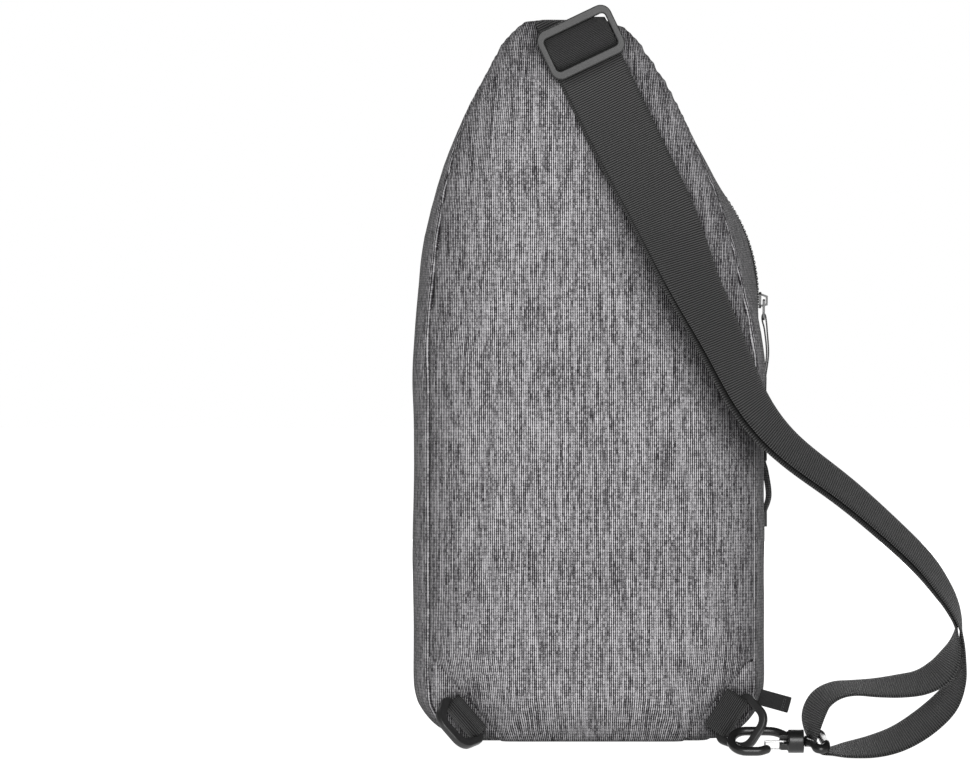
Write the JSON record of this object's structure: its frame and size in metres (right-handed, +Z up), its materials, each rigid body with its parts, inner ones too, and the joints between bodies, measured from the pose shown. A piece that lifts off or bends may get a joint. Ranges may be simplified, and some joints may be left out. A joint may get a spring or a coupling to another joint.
{
  "type": "sling bag",
  "caption": "Teardrop sling bag with padded back, zipped arch compartment, zipped lower pocket, corner rings and a webbing strap that clips on with a swivel hook",
  "frame": {"origin": "middle of the underside of the base, on the resting plane, 45 mm in front of the padded back face", "axes": "+Z up; +X right as seen from the padded back; -Y is the padded back that lies on the wearer, +Y is the pocket side"},
  "size_m": [0.3211, 0.1288, 0.4279],
  "materials": {
    "heather_cloth": "woven melange, matte",
    "black_webbing": "ribbed webbing, matte",
    "grey_lining": "plain weave, matte",
    "foam": "soft foam, matte",
    "base_cloth": "woven, matte",
    "zip_tape": "twill tape, matte",
    "zip_teeth": "coil, satin",
    "zip_metal": "black satin",
    "pull_cord": "flat braided cord",
    "cord_tip": "moulded satin",
    "black_hardware": "moulded satin",
    "hook_plastic": "moulded satin",
    "silver_wire": "polished wire",
    "ribbon": "woven ribbon"
  },
  "bodies": {
    "bag": {"back_foam": "foam", "back_lining": "grey_lining", "back_panel": "heather_cloth", "base_patch": "base_cloth", "corner_patch_left": "heather_cloth", "corner_patch_right": "heather_cloth", "front_border": "heather_cloth", "front_panel": "heather_cloth", "front_pocket": "heather_cloth", "gusset_base": "heather_cloth", "gusset_left": "heather_cloth", "gusset_right": "heather_cloth", "loop_left": "black_webbing", "loop_right": "black_webbing", "main_tape_back": "zip_tape", "main_tape_front": "zip_tape", "main_teeth": "zip_teeth", "organiser_panel": "grey_lining", "pocket_roof": "heather_cloth", "pocket_tape_lower": "zip_tape", "pocket_tape_upper": "zip_tape", "pocket_teeth": "zip_teeth", "ribbon_tab": "ribbon", "strap_anchor": "black_webbing", "tablet_sleeve": "grey_lining", "top_yoke": "heather_cloth"},
    "main_slider": {"main_slider": "zip_metal"},
    "main_pull": {"main_link": "zip_metal", "main_cord": "pull_cord", "main_cord_tip": "cord_tip"},
    "pocket_slider": {"pocket_slider": "zip_metal"},
    "pocket_pull": {"pocket_link": "zip_metal", "pocket_cord": "pull_cord", "pocket_cord_tip": "cord_tip"},
    "ring_left": {"ring_left": "black_hardware"},
    "ring_right": {"ring_right": "black_hardware"},
    "strap": {"strap_webbing": "black_webbing", "strap_loop": "black_webbing", "swivel_eye": "hook_plastic"},
    "tri_glide": {"tri_glide": "black_hardware", "strap_end": "black_webbing"},
    "hook": {"hook_body": "hook_plastic"},
    "gate": {"hook_gate": "silver_wire"}
  },
  "joints": [
    {"name": "main_zip", "type": "hinge", "parent": "bag", "child": "main_slider", "pos_m": [0, 0.004, 0.257], "axis": [0, -1, 0], "range_deg": [0, 176]},
    {"name": "main_pull_swing", "type": "hinge", "parent": "main_slider", "child": "main_pull", "pos_m": [0.10298, 0.004, 0.2552], "axis": [0, -1, 0], "range_deg": [0, 150]},
    {"name": "pocket_zip", "type": "hinge", "parent": "bag", "child": "pocket_slider", "pos_m": [0, -0.1215, 0.1715], "axis": [0, 0, 1], "range_deg": [0, 73.8]},
    {"name": "pocket_pull_swing", "type": "hinge", "parent": "pocket_slider", "child": "pocket_pull", "pos_m": [0.10237, 0.01485, 0.1715], "axis": [0.7997, -0.6004, 0], "range_deg": [0, 120]},
    {"name": "ring_left_swing", "type": "hinge", "parent": "bag", "child": "ring_left", "pos_m": [-0.0717, -0.0478, 0.0137], "axis": [-0.6553, 0, 0.7554], "range_deg": [-50, 50]},
    {"name": "ring_right_swing", "type": "hinge", "parent": "bag", "child": "ring_right", "pos_m": [0.0819, -0.0474, 0.015], "axis": [-0.541, 0, -0.841], "range_deg": [-1.5, 1.5]},
    {"name": "strap_swing", "type": "hinge", "parent": "bag", "child": "strap", "pos_m": [-0.03, -0.047, 0.405], "axis": [0.2848, -0.0314, -0.9581], "range_deg": [0, 5]},
    {"name": "tri_glide_slide", "type": "slide", "parent": "strap", "child": "tri_glide", "axis": [0.4305, 0, -0.9026], "range_m": [0, 0.018]},
    {"name": "hook_swivel", "type": "hinge", "parent": "strap", "child": "hook", "pos_m": [0.118, -0.0599, 0.002], "axis": [1, 0, 0], "range_deg": [-4, 5]},
    {"name": "gate_swing", "type": "hinge", "parent": "hook", "child": "gate", "pos_m": [0.1106, -0.06269, 0.00005], "axis": [0, -0.5736, 0.8192], "range_deg": [-24, 0], "stiffness_Nm_per_rad": 0.004}
  ]
}
